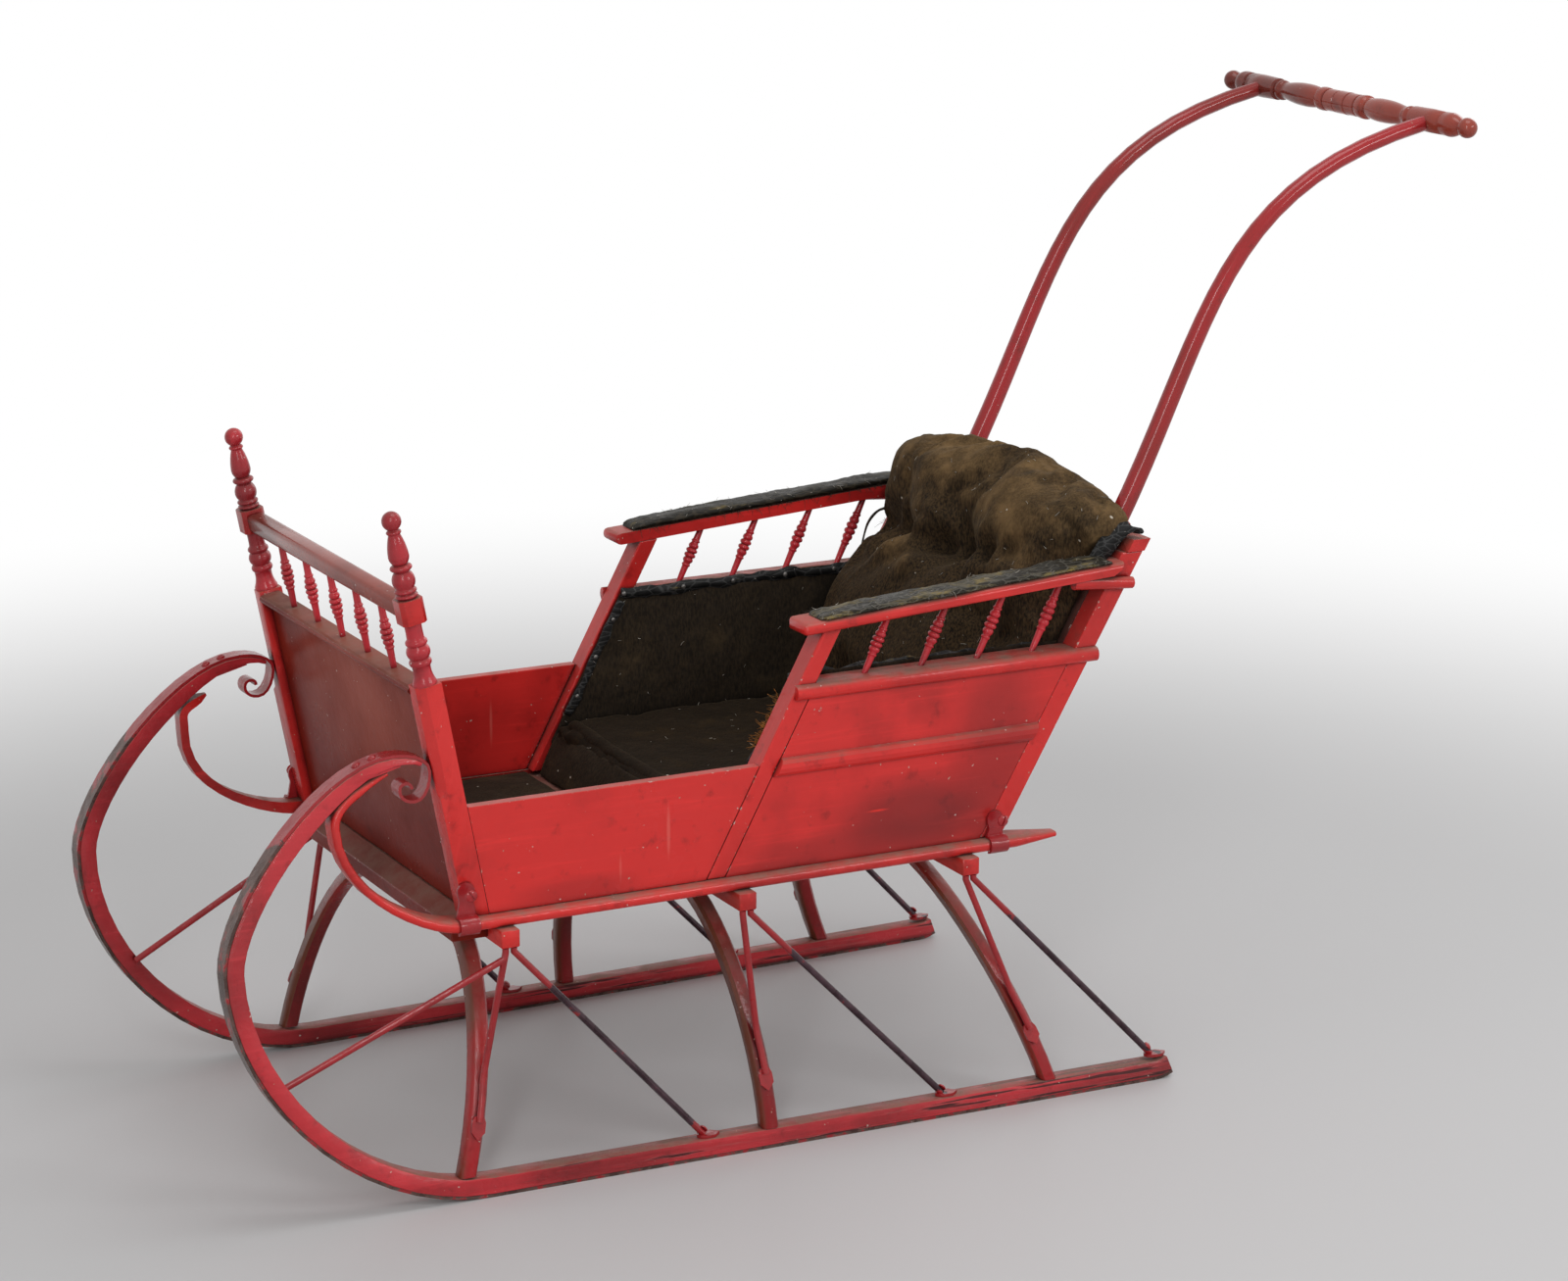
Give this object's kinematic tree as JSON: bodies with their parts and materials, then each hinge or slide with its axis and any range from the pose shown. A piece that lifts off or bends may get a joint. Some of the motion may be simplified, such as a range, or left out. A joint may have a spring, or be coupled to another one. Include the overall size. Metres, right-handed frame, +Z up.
{
  "type": "child's push sleigh",
  "caption": "Child's seat on two bent runners with curled noses, turned rails at dash and sides, padded back, and a turned push handle behind.",
  "frame": {"origin": "on the floor under the middle of the overall box", "axes": "+X the way it travels, +Y its left side, +Z up"},
  "size_m": [1.3711, 0.5208, 0.962],
  "materials": {
    "red_paint": "old gloss paint, chipped at edges, dusty on top faces",
    "dark_red_paint": "browned old paint",
    "handle_paint": "worn varnish paint over bent wood",
    "worn_wood": "thin old paint over boards",
    "forged_iron": "old paint worn to dark iron",
    "painted_iron": "old gloss paint over iron",
    "dark_leather": "black oilcloth, cracked and dusty",
    "worn_cloth": "dark brown plush, rubbed to gold in places"
  },
  "bodies": {
    "root": {"arm_gallery_left": "red_paint", "arm_gallery_right": "red_paint", "armrest_left": "red_paint", "armrest_pad_left": "dark_leather", "armrest_pad_right": "dark_leather", "armrest_right": "red_paint", "back_board": "worn_wood", "back_cushion": "worn_cloth", "bow_front": "red_paint", "bow_mid": "red_paint", "bow_rear": "red_paint", "corner_strap_front_left": "painted_iron", "corner_strap_front_right": "painted_iron", "corner_strap_rear_left": "painted_iron", "corner_strap_rear_right": "painted_iron", "crest_rail": "red_paint", "cross_beam_front": "red_paint", "cross_beam_mid": "red_paint", "cross_beam_rear": "red_paint", "dash_gallery": "red_paint", "dash_panel": "dark_red_paint", "dash_post_left": "red_paint", "dash_post_right": "red_paint", "diagonal_brace_front_left": "forged_iron", "diagonal_brace_front_right": "forged_iron", "diagonal_brace_mid_left": "forged_iron", "diagonal_brace_mid_right": "forged_iron", "diagonal_brace_rear_left": "forged_iron", "diagonal_brace_rear_right": "forged_iron", "floor_board": "worn_wood", "front_rail": "dark_red_paint", "front_stile_left": "red_paint", "front_stile_right": "red_paint", "handle_arm_left": "handle_paint", "handle_arm_right": "handle_paint", "handlebar": "handle_paint", "leg_stay_front_left": "forged_iron", "leg_stay_front_right": "forged_iron", "leg_stay_mid_left": "forged_iron", "leg_stay_mid_right": "forged_iron", "leg_stay_rear_left": "forged_iron", "leg_stay_rear_right": "forged_iron", "low_panel_left": "red_paint", "low_panel_right": "red_paint", "rear_stile_left": "red_paint", "rear_stile_right": "red_paint", "runner_left": "red_paint", "runner_right": "red_paint", "seat_apron": "worn_cloth", "seat_board": "worn_wood", "seat_cushion": "worn_cloth", "shoe_left": "forged_iron", "shoe_right": "forged_iron", "side_lining_left": "worn_cloth", "side_lining_right": "worn_cloth", "side_panel_left": "red_paint", "side_panel_right": "red_paint", "sill_left": "red_paint", "sill_right": "red_paint"}
  },
  "joints": []
}
